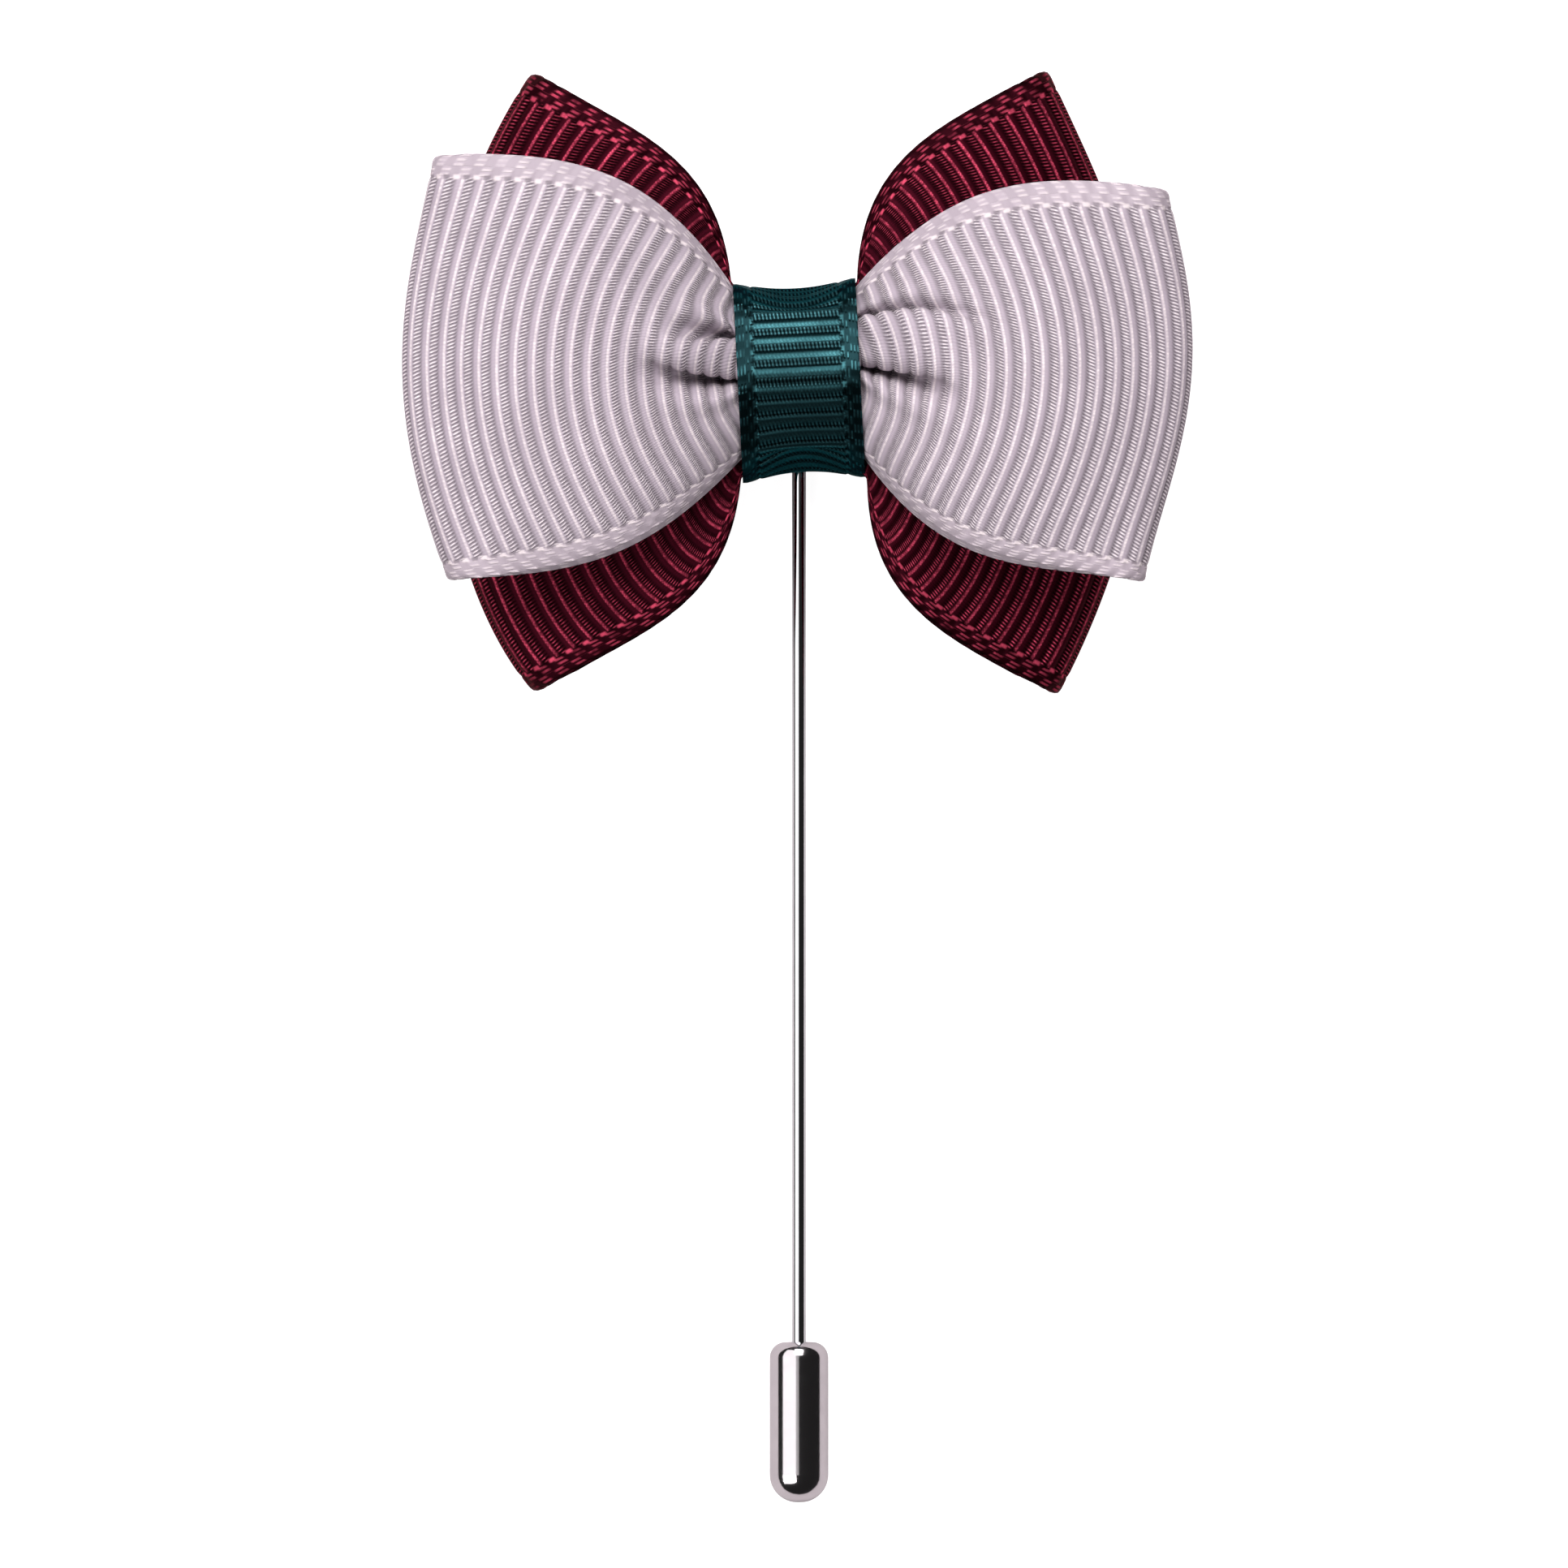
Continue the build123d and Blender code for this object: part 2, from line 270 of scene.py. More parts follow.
def laneCurves(bow, side, across):
    # outer line of every lane of one lobe, from the knot out along the face, round the
    # fold and back behind: lanes x samples x 3
    values = laneValues(bow, side, across)
    lead, land = heading(values["lead"]), heading(values["land"])
    rise = bow["rise"] * values["crown"]
    sag = bow["sag"] * values["belly"]
    radius = bow["foldRadius"] + bow["thickness"] / 2
    start = knotPoint(side, knot["edge"], across * bow["mouthHalf"] + bow["mouthShift"])
    tip = np.stack([bow["halfSpan"] * values["out"], bow["width"] / 2 * values["up"]], -1)
    # both of its corners are rounded off
    cut = np.clip(1 - bow["width"] / 2 * (1 - np.abs(across)) / bow["corner"], 0, 1)
    tip = tip - land * (bow["corner"] * (1 - np.sqrt(1 - cut**2)))[:, None]
    fold = tip - land * radius
    span = lobeForm["landPull"] * np.linalg.norm(fold - start, axis=-1)
    face = np.full_like(across, bow["face"] + bow["thickness"] / 2)
    back = np.full_like(across, bow["back"] - bow["thickness"] / 2)
    faceTurn = np.arctan2(3 * span, 4 * rise - (bow["foldLevel"] + radius - face))
    backTurn = np.arctan2(3 * span, 4 * sag + (bow["foldLevel"] - radius - back))
    sheets = []
    plains = []
    hooks = []
    layers = (
        (face, rise, faceTurn, -bow["faceCrease"]),
        (back, -sag, -backTurn, bow["backCrease"]),
    )
    share = np.linspace(0, 1, lobeForm["faceSamples"])[None, :]
    for level, bulge, turn, crease in layers:
        # plain cloth, a cubic curve from the knot to the fold
        end = fold + land * (radius * np.cos(turn))[:, None]
        endLevel = bow["foldLevel"] + radius * np.sin(turn)
        reach = np.linalg.norm(end - start, axis=-1)[:, None]
        first = start + lead * lobeForm["leadPull"] * reach
        second = end - land * lobeForm["landPull"] * reach
        rest = 1 - share[..., None]
        step = share[..., None]
        flat = start[:, None] * rest**3 + end[:, None] * step**3
        flat = flat + 3 * first[:, None] * rest**2 * step + 3 * second[:, None] * rest * step**2
        height = level[:, None] + (endLevel - level)[:, None] * share
        height = height + 4 * bulge[:, None] * share * (1 - share)
        if level is face:
            spent = np.clip(1 - share / bow["dropReach"], 0, 1) ** lobeForm["dropFade"]
            height = height - bow["drop"] * np.abs(across[:, None]) ** lobeForm["dropPower"] * spent
            height = height - bow["pinch"] * (1 - smoothStep(0.0, lobeForm["pinchReach"], share))
        plain = np.concatenate([flat, height[..., None]], axis=-1)
        # pleats laid over it
        depth, roll, hook = pleatShape(bow, side, across[:, None], share)
        height = height + crease * depth
        along = np.gradient(flat, axis=1)
        along /= np.linalg.norm(along, axis=-1)[..., None]
        sideways = np.stack([-along[..., 1], along[..., 0]], -1)
        apart = np.linalg.norm(np.gradient(flat, across, axis=0), axis=-1)
        bent = hook * (crease < 0)
        if crease != 0:
            flat = flat + sideways * (roll * apart)[..., None]
        if level is back:
            spread = bow["backSpread"] * smoothStep(lobeForm["spreadFrom"], -1.0, across)[:, None]
            flat = flat - sideways * (spread * 4 * share * (1 - share))[..., None]
        # drawn together inside the wrap
        throat = knotPoint(side, knot["inside"], across * bow["throatHalf"])
        draw = np.linspace(0, 1, lobeForm["neckSamples"] + 1)[None, :-1, None]
        neck = throat[:, None] * (1 - draw) + flat[:, :1] * draw
        if level is face:
            neckHeight = height[:, :1] - bow["throatDrop"] * across[:, None] ** 2 * (1 - draw[..., 0])
        else:
            neckHeight = np.repeat(height[:, :1], neck.shape[1], axis=1)
        flat = np.concatenate([neck, flat], axis=1)
        height = np.concatenate([neckHeight, height], axis=1)
        hooks.append(np.concatenate([bent[:, :1] * draw[..., 0], bent], axis=1))
        sheets.append(np.concatenate([flat, height[..., None]], axis=-1))
        plains.append(np.concatenate([sheets[-1][:, :neck.shape[1]], plain], axis=1))
    # round the fold
    roundFold = np.linspace(0, 1, lobeForm["foldSamples"])[None, 1:-1]
    turns = faceTurn[:, None] - (faceTurn + backTurn)[:, None] * roundFold
    flat = fold[:, None] + land[:, None] * (radius * np.cos(turns))[..., None]
    bend = np.concatenate([flat, (bow["foldLevel"] + radius * np.sin(turns))[..., None]], axis=-1)
    curve = np.concatenate([sheets[0], bend, sheets[1][:, ::-1]], axis=1)
    plain = np.concatenate([plains[0], bend, plains[1][:, ::-1]], axis=1)
    curve[..., 0] *= side
    curve[..., 1] += knot["y"]
    # length along the plain cloth, which spaces the ribs
    apex = sheets[0].shape[1] + bend.shape[1] // 2
    mouth = lobeForm["neckSamples"]
    steps = np.linalg.norm(np.diff(plain, axis=1), axis=-1)
    length = np.concatenate([np.zeros((len(across), 1)), np.cumsum(steps, axis=1)], axis=1)
    pitch = (length[:, apex] - length[:, mouth]) / values["ribs"]
    bent = np.concatenate([hooks[0], 0 * bend[..., 0], hooks[1][:, ::-1]], axis=1)
    length = length + bent * pitch[:, None]
    return curve, length, length[:, apex], pitch


def laneLayout(bow):
    # places across the ribbon, closer together in the selvedges and beside the pleats
    width, band = bow["width"], bow["band"]
    edge = np.array(bowSelvedge["lanes"] + [band + step for step in bowSelvedge["bandLanes"]])
    grid = np.linspace(edge[-1], width - edge[-1], laneSamples)
    density = np.full_like(grid, 1 / bow["laneStep"])
    for row in bow["pleats"]:
        pleat = dict(zip(pleatColumns, row))
        pleatWidth = pleat["width"] * width
        middle = ((pleat["across"] + pleat["end"]) / 2 + 1) * width / 2
        middle = middle + pleat["over"] * pleatWidth * pleatForm["fineAt"]
        near = np.exp(-(((grid - middle) / (pleatWidth * pleatForm["fineReach"])) ** 4))
        density = np.maximum(density, near / bow["fineStep"])
    total = np.concatenate([[0], np.cumsum(density[1:] * np.diff(grid))])
    count = int(np.ceil(total[-1]))
    middleLanes = np.interp(np.linspace(0, total[-1], count + 1), total, grid)
    return np.concatenate([edge[:-1], middleLanes, (width - edge[:-1])[::-1]])


def ribRelief(phase):
    # height of the cloth over its thinnest place, 0 to 1
    along = phase % 1.0
    return np.interp(along, np.append(ribPhases, 1.0), np.append(ribHeights, 0.0))


def weaveRelief(selvedge, band, bandEdge, phase):
    # the same for all lanes, ribs and selvedges together, counted from the cloth's level
    low, high = selvedge["inner"]
    inner = smoothStep(band + low, band + high, bandEdge)
    outer = bandEdge < band * selvedge["outerRow"]
    bundle = np.where(outer, ribRelief(phase + 0.5), ribRelief(phase))
    relief = ribRelief(phase) * inner + (1 - inner) * (selvedge["level"] + selvedge["bundle"] * bundle)
    for name, place in (("groove", band), ("rim", 0.0)):
        deep, wide = selvedge[name]
        relief = relief - deep * bell(bandEdge, place, wide)
    return relief - clothLevel


def weaveLobe(bow, side, lanes):
    # columns of points on both faces of one lobe, one column for each line along the ribs
    across = 2 * lanes / bow["width"] - 1
    curve, length, apex, pitch = laneCurves(bow, side, across)
    stepAlong = np.gradient(curve, axis=1)
    stepAcross = np.gradient(curve, lanes, axis=0)
    normal = np.cross(stepAlong, stepAcross) * side
    normal /= np.linalg.norm(normal, axis=-1)[..., None]
    first = apex / pitch
    last = (apex - length[:, -1]) / pitch
    top, bottom = int(np.ceil(first.max())), int(np.floor(last.min()))
    phases = (np.arange(bottom, top)[:, None] + ribPhases[None, :]).ravel()[::-1]
    bandEdge = np.minimum(lanes, bow["width"] - lanes)
    thinner = 0.5 + 0.5 * smoothStep(0.0, bow["band"], bandEdge)
    columns = []
    for phase in [first.max() + 1, *phases, last.min() - 1]:
        place = np.clip(apex - phase * pitch, 0, length[:, -1])
        kind = np.where(phase >= first, 0, np.where(phase <= last, 2, 1))
        point = np.empty((len(lanes), 3))
        up = np.empty((len(lanes), 3))
        for lane in range(len(lanes)):
            for axis in range(3):
                point[lane, axis] = np.interp(place[lane], length[lane], curve[lane, :, axis])
                up[lane, axis] = np.interp(place[lane], length[lane], normal[lane, :, axis])
        up /= np.linalg.norm(up, axis=-1)[:, None]
        proud = bow["relief"] * weaveRelief(bowSelvedge, bow["band"], bandEdge, phase)
        inside = bow["thickness"] * thinner + proud
        columns.append((point + up * proud[:, None], point - up * inside[:, None], kind,
                        np.full(len(lanes), phase)))
    return columns


def clothPiece(name, verts, weave, faces):
    # a mesh with a map of its weave: U counts ribs along the ribbon, V is millimetres across
    mesh = bpy.data.meshes.new(name)
    mesh.from_pydata((np.array(verts) * mm).tolist(), [], faces)
    layer = mesh.uv_layers.new(name="weave")
    corner = np.empty(len(mesh.loops), int)
    mesh.loops.foreach_get("vertex_index", corner)
    layer.data.foreach_set("uv", np.array(weave)[corner].ravel())
    piece = bpy.data.objects.new(name, mesh)
    bpy.context.collection.objects.link(piece)
    mesh.shade_smooth()
    return piece


def ribbonMesh(name, bow):
    # closed ribbon ring: both lobes, joined inside the wrap and along both selvedges
    lanes = laneLayout(bow)
    count = len(lanes)
    verts, weave = [], []

    def addPoints(points, phase, picked):
        base = len(verts)
        verts.extend(points[picked])
        weave.extend(np.stack([phase[picked], lanes[picked]], -1))
        return base + np.arange(len(picked))

    def addLobe(columns):
        # lanes that have run out at either end of the lobe share one column there
        kept = [[], []]
        ends = {}
        for outer, inner, kind, phase in columns:
            for layer, points in enumerate((outer, inner)):
                for end in (0, 2):
                    if (layer, end) not in ends and (kind == end).all():
                        ends[layer, end] = addPoints(points, phase, np.arange(count))
                ids = np.empty(count, int)
                fresh = np.nonzero(kind == 1)[0]
                ids[fresh] = addPoints(points, phase, fresh)
                kept[layer].append([ids, kind])
        for layer in (0, 1):
            for entry in kept[layer]:
                for end in (0, 2):
                    entry[0] = np.where(entry[1] == end, ends[layer, end], entry[0])
        return [[entry[0] for entry in layer] for layer in kept]

    right = addLobe(weaveLobe(bow, 1, lanes))
    left = addLobe(weaveLobe(bow, -1, lanes))
    outerIds = right[0] + left[0][::-1]
    innerIds = right[1] + left[1][::-1]
    faces = []

    def addFace(corners):
        kept = []
        for corner in corners:
            if corner not in kept:
                kept.append(corner)
        if len(kept) > 2:
            faces.append(kept)

    around = len(outerIds)
    for step in range(around):
        after = (step + 1) % around
        low, high = outerIds[step].tolist(), outerIds[after].tolist()
        lowIn, highIn = innerIds[step].tolist(), innerIds[after].tolist()
        for lane in range(count - 1):
            addFace([low[lane], high[lane], high[lane + 1], low[lane + 1]])
            addFace([lowIn[lane], lowIn[lane + 1], highIn[lane + 1], highIn[lane]])
        addFace([low[0], lowIn[0], highIn[0], high[0]])
        addFace([low[-1], high[-1], highIn[-1], lowIn[-1]])
    print(name, "faces", len(faces), "lanes", count, "columns", around)
    return clothPiece(name, verts, weave, faces)


# Knot wrap: a narrower ribbon wound once round both bows
wrap = {
    "width": 7.1,
    "band": 1.0,
    "thickness": 0.5,
    "relief": 0.13,
    "pitch": 0.97,
    "laneStep": 0.22,
    "firstLane": 0.3,         # from the selvedge to the first even step
    "samples": 1600,
    # section from the back middle up over the crown and down again: y, z
    "section": [
        (0.0, 3.25), (3.6, 3.27), (4.9, 3.65), (5.45, 4.8), (5.55, 6.6), (5.45, 8.2),
        (4.9, 9.4), (3.95, 10.15), (2.5, 10.85), (1.1, 11.45), (0.35, 11.68), (-0.35, 11.55),
        (-1.2, 11.05), (-2.5, 10.15), (-3.8, 9.2), (-4.9, 8.1), (-5.45, 6.9), (-5.6, 5.6),
        (-5.4, 4.5), (-4.8, 3.6), (-3.6, 3.27),
    ],
    "topDip": 1.05,           # the middle of its upper edge is drawn in
    "bottomDip": 1.3,
    "dipPower": 1.5,
    "dipFrom": (3.6, 5.2),    # across the knot, and as a level
    "dipLevel": (3.0, 7.5),
    "arch": 0.6,              # ribs bow upwards on the lower half, in ribs
    "archFrom": (-0.5, -3.5),
    "archLevel": 8.0,         # and only in front
    "archRight": 0.35,        # less so on the right
    "selvedge": {
        "lanes": [0.0, 0.08, 0.25, 0.5, 0.75],
        "bandLanes": [-0.1, 0.0, 0.12],
        "inner": (-0.1, 0.12),
        "outerRow": 2.0,      # all of its bundles lie between the ribs
        "level": 0.6,
        "bundle": 0.15,
        "groove": (0.4, 0.1),
        "rim": (0.4, 0.2),
    },
}


def closedCurve(points, samples):
    # smooth closed curve through the section's points, evenly spaced by length
    points = np.array(points)
    count = len(points)
    fine = np.linspace(0, count, sectionSteps * count, endpoint=False)
    index = np.floor(fine).astype(int)
    share = (fine - index)[:, None]
    p0, p1 = points[(index - 1) % count], points[index % count]
    p2, p3 = points[(index + 1) % count], points[(index + 2) % count]
    curve = 0.5 * (2 * p1 + (p2 - p0) * share + (2 * p0 - 5 * p1 + 4 * p2 - p3) * share**2
                   + (3 * p1 - p0 - 3 * p2 + p3) * share**3)
    step = np.linalg.norm(np.diff(curve, axis=0, append=curve[:1]), axis=1)
    total = np.concatenate([[0], np.cumsum(step)])
    place = np.linspace(0, total[-1], samples, endpoint=False)
    closed = np.concatenate([curve, curve[:1]])
    return np.stack([np.interp(place, total, closed[:, axis]) for axis in (0, 1)], -1), total[-1]


def wrapMesh(name, sizes):
    fineCount = sizes["samples"]
    section, around = closedCurve(sizes["section"], fineCount)
    ribCount = round(around / sizes["pitch"])
    phases = (np.arange(ribCount)[:, None] + ribPhases[None, :]).ravel()
    tangent = np.roll(section, -1, 0) - np.roll(section, 1, 0)
    normal = np.stack([tangent[:, 1], -tangent[:, 0]], -1)
    normal /= np.linalg.norm(normal, axis=1)[:, None]
    if (normal * (section - section.mean(0))).sum() < 0:
        normal = -normal
    width, band, selvedge = sizes["width"], sizes["band"], sizes["selvedge"]
    edge = np.array(selvedge["lanes"] + [band + step for step in selvedge["bandLanes"]])
    first = band + sizes["firstLane"]
    middle = np.linspace(first, width - first, int((width - 2 * first) / sizes["laneStep"]))
    lanes = np.concatenate([edge, middle, (width - edge)[::-1]])
    count = len(lanes)
    x = lanes - width / 2
    bow = 1 - (2 * x / width) ** 2
    bandEdge = np.minimum(lanes, width - lanes)
    lean = radians(knot["lean"])
    fineIndex = np.arange(fineCount + 1)
    ring = np.concatenate([np.hstack([section, normal]), np.hstack([section[:1], normal[:1]])])

    def sectionAt(place):
        # y, z and the outward direction at places round the section
        return [np.interp(place, fineIndex, ring[:, column]) for column in range(4)]

    verts, weave = [], []
    columns = [[], []]
    for phase in phases:
        yHere, zHere, _, _ = sectionAt(phase / ribCount * fineCount)
        arch = sizes["arch"] * smoothStep(*sizes["archFrom"], yHere) if zHere > sizes["archLevel"] else 0.0
        shift = arch * (bow - 1) * np.where(x < 0, 1.0, sizes["archRight"])
        y, z, ny, nz = sectionAt(((phase - shift) / ribCount * fineCount) % fineCount)
        dip = np.where(y > 0, sizes["topDip"], sizes["bottomDip"]) * bow ** sizes["dipPower"]
        dip = dip * smoothStep(*sizes["dipFrom"], np.abs(y)) * smoothStep(*sizes["dipLevel"], z)
        y = y - np.sign(y) * dip
        half = sizes["thickness"] / 2 + sizes["relief"] * weaveRelief(selvedge, band, bandEdge, phase)
        for layer, sign in enumerate((1, -1)):
            py = y + sign * half * ny
            pz = z + sign * half * nz
            px = x * cos(lean) - py * sin(lean)
            py = py * cos(lean) + x * sin(lean)
            base = len(verts)
            verts.extend(np.stack([px, py + knot["y"], pz], -1))
            weave.extend(np.stack([np.full(count, phase), lanes], -1))
            columns[layer].append(np.arange(base, base + count))
    faces = []
    total = len(phases)
    for step in range(total):
        after = (step + 1) % total
        low, high = columns[0][step].tolist(), columns[0][after].tolist()
        lowIn, highIn = columns[1][step].tolist(), columns[1][after].tolist()
        for lane in range(count - 1):
            faces.append([low[lane], low[lane + 1], high[lane + 1], high[lane]])
            faces.append([lowIn[lane], highIn[lane], highIn[lane + 1], lowIn[lane + 1]])
        faces.append([low[0], high[0], highIn[0], lowIn[0]])
        faces.append([low[-1], lowIn[-1], highIn[-1], high[-1]])
    print(name, "faces", len(faces), "ribs", ribCount)
    return clothPiece(name, verts, weave, faces)


# Cloth finishes: the highlight line is a painted highlight along the smooth top of a rib, flank
# the cloth on its far side in its own colour darkened by painted shade, groove and thread the
# hatching between two ribs, the groove colour being painted shade between the threads that also
# darkens random worn patches, border the selvedge. top says where the highlight line ends and
# starts again within a rib, hatchedTop how far the threads show on it and even how unbroken it is.
# The groove shade is how dark the painted shade in the deepest place gets, glints how bright the
# painted glints are where the threads leave the highlight line, slant how far they lean, the
# bundle highlight how strongly the selvedge's woven bundles are painted with the highlight colour
# and the edge shade how dark the painted shade along its outermost thread is.
cloths = {
    "lavenderGrosgrain": {
        "width": 25.0, "band": 1.35, "line": (0.74, 0.64, 0.66), "flank": (0.37, 0.308, 0.36),
        "groove": (0.165, 0.134, 0.157), "thread": (0.68, 0.60, 0.66), "border": (0.41, 0.342, 0.39),
        "top": (0.02, 0.13, 0.89, 0.99), "hatchedTop": 0.3, "grooveShade": 0.5, "edgeShade": 0.0,
        "glints": 1.0, "even": 0.55, "bundleHighlight": 0.5, "metallic": 0.0, "slant": 2.2,
        "roughness": 0.5, "ior": 1.45, "specular": 0.4, "tint": (1.0, 0.92, 0.93),
    },
    "burgundyGrosgrain": {
        "width": 38.0, "band": 1.45, "line": (0.78, 0.083, 0.160), "flank": (0.038, 0.0025, 0.0073),
        "groove": (0.002, 0.0002, 0.0005), "thread": (0.095, 0.0075, 0.0175),
        "border": (0.022, 0.0015, 0.0042),
        "top": (0.0, 0.15, 0.90, 0.99), "hatchedTop": 0.5, "grooveShade": 0.45, "edgeShade": 0.9,
        "glints": 0.6, "even": 0.3, "bundleHighlight": 0.45, "metallic": 0.5, "slant": 1.5,
        "roughness": 0.52, "ior": 1.35, "specular": 0.2, "tint": (1.0, 0.2, 0.35),
    },
    "tealGrosgrain": {
        "width": 7.1, "band": 1.0, "line": (0.048, 0.152, 0.172), "flank": (0.021, 0.070, 0.080),
        "groove": (0.001, 0.003, 0.004), "thread": (0.050, 0.140, 0.160), "border": (0.010, 0.031, 0.036),
        "top": (0.05, 0.20, 0.80, 0.95), "hatchedTop": 0.8, "grooveShade": 0.5, "edgeShade": 0.0,
        "glints": 0.7, "even": 0.4, "bundleHighlight": 0.75, "metallic": 0.95, "slant": 0.8,
        "roughness": 0.42, "ior": 1.4, "specular": 0.2, "tint": (0.10, 0.40, 0.42),
    },
}

# What all three weaves share. Four places say where a form fades in and out, and a wave
# is 0 below its first number and 1 above its second one.
weaveForm = {
    "threadPitch": 0.217,     # millimetres
    "threadWave": (-0.7, 0.6),
    # glintWave and dots place the painted glints on the threads
    "glintWave": (0.25, 0.9),
    "hatched": (0.10, 0.20, 0.54, 0.68),
    "dots": (0.18, 0.30, 0.36, 0.50),
    # where the painted shade in the deepest place between two ribs fades in and out
    "grooveShade": (0.42, 0.56, 0.62, 0.80),
    "hatching": 0.85,
    "selvedgeFade": (-0.08, 0.02),
    "bundleSlant": 0.25,      # ribs for each millimetre
    "bundleWave": (-0.5, 0.7),
    "strands": 5,             # across the band
    "strandWave": (-0.7, 0.5),
    "edge": (0.12, 0.42),     # outermost thread
    # painted shade between two bundles
    "between": 0.22,          # how dark it is between two bundles
    "loops": (-0.12, 0.0, 0.12, 0.26),         # millimetres out from where the ribs end
    "loopStart": 0.1,
    "loopWave": (0.0, 0.9),
    # painted highlight on the loops and painted shade between them
    "loopHighlight": 0.8,
    "loopGap": (-0.9, -0.1),
    "loopShade": 0.7,
    "uneven": (420.0, 3.0, 0.3, 0.7),          # scale, detail and where it fades in
    "patches": (1100.0, 2.0, 0.25, 0.6),
    "speckle": (4200.0, 2.0, 0.35, 0.7),
    "wear": 0.14,
    "rougher": (-0.04, 0.06),
    "anisotropic": 0.92,
    "rotation": 0.25,
    "bump": 0.00006,          # metres, with the shares of it that follow
    "grooveThread": 0.85,
    "topThread": 0.15,
    "bundleHeight": 0.7,
    "loopHeight": 0.5,
}


class Nodes:
    # short way to build a material's nodes
    def __init__(self, name):
        self.material = bpy.data.materials.new(name)
        self.material.use_nodes = True
        self.tree = self.material.node_tree
        self.shader = self.tree.nodes["Principled BSDF"]

    def add(self, kind, **values):
        node = self.tree.nodes.new(kind)
        for key, value in values.items():
            setattr(node, key, value)
        return node

    def link(self, source, target):
        self.tree.links.new(source, target)

    def math(self, operation, *inputs):
        node = self.add("ShaderNodeMath", operation=operation)
        for index, value in enumerate(inputs):
            if isinstance(value, (int, float)):
                node.inputs[index].default_value = value
            else:
                self.link(value, node.inputs[index])
        return node.outputs[0]

    def times(self, first, *others):
        for other in others:
            first = self.math("MULTIPLY", first, other)
        return first

    def invert(self, value):
        return self.math("SUBTRACT", 1.0, value)

    def wave(self, turns):
        return self.math("SINE", self.times(turns, fullTurn))

    def spread(self, value, low, high):
        # 0 to 1 becomes low to high
        node = self.add("ShaderNodeMapRange")
        self.link(value, node.inputs["Value"])
        node.inputs["To Min"].default_value = low
        node.inputs["To Max"].default_value = high
        return node.outputs["Result"]

    def ramp(self, value, low, high):
        node = self.add("ShaderNodeMapRange", interpolation_type="SMOOTHSTEP")
        self.link(value, node.inputs["Value"])
        node.inputs["From Min"].default_value = low
        node.inputs["From Max"].default_value = high
        return node.outputs["Result"]

    def hump(self, value, rising, full, falling, gone):
        return self.times(self.ramp(value, rising, full), self.invert(self.ramp(value, falling, gone)))

    def noise(self, scale, detail):
        node = self.add("ShaderNodeTexNoise")
        node.inputs["Scale"].default_value = scale
        node.inputs["Detail"].default_value = detail
        self.link(self.add("ShaderNodeTexCoord").outputs["Object"], node.inputs["Vector"])
        return node.outputs["Fac"]

    def cloud(self, scale, detail, low, high):
        return self.ramp(self.noise(scale, detail), low, high)

    def blend(self, share, first, second):
        node = self.add("ShaderNodeMix", data_type="RGBA")
        self.link(share, node.inputs["Factor"])
        for socket, value in (("A", first), ("B", second)):
            target = [s for s in node.inputs if s.name == socket and s.type == "RGBA"][0]
            if isinstance(value, tuple):
                target.default_value = (*value, 1)
            else:
                self.link(value, target)
        return [s for s in node.outputs if s.type == "RGBA"][0]

    def bump(self, height, strength, distance):
        node = self.add("ShaderNodeBump")
        node.inputs["Strength"].default_value = strength
        node.inputs["Distance"].default_value = distance
        self.link(height, node.inputs["Height"])
        self.link(node.outputs[0], self.shader.inputs["Normal"])


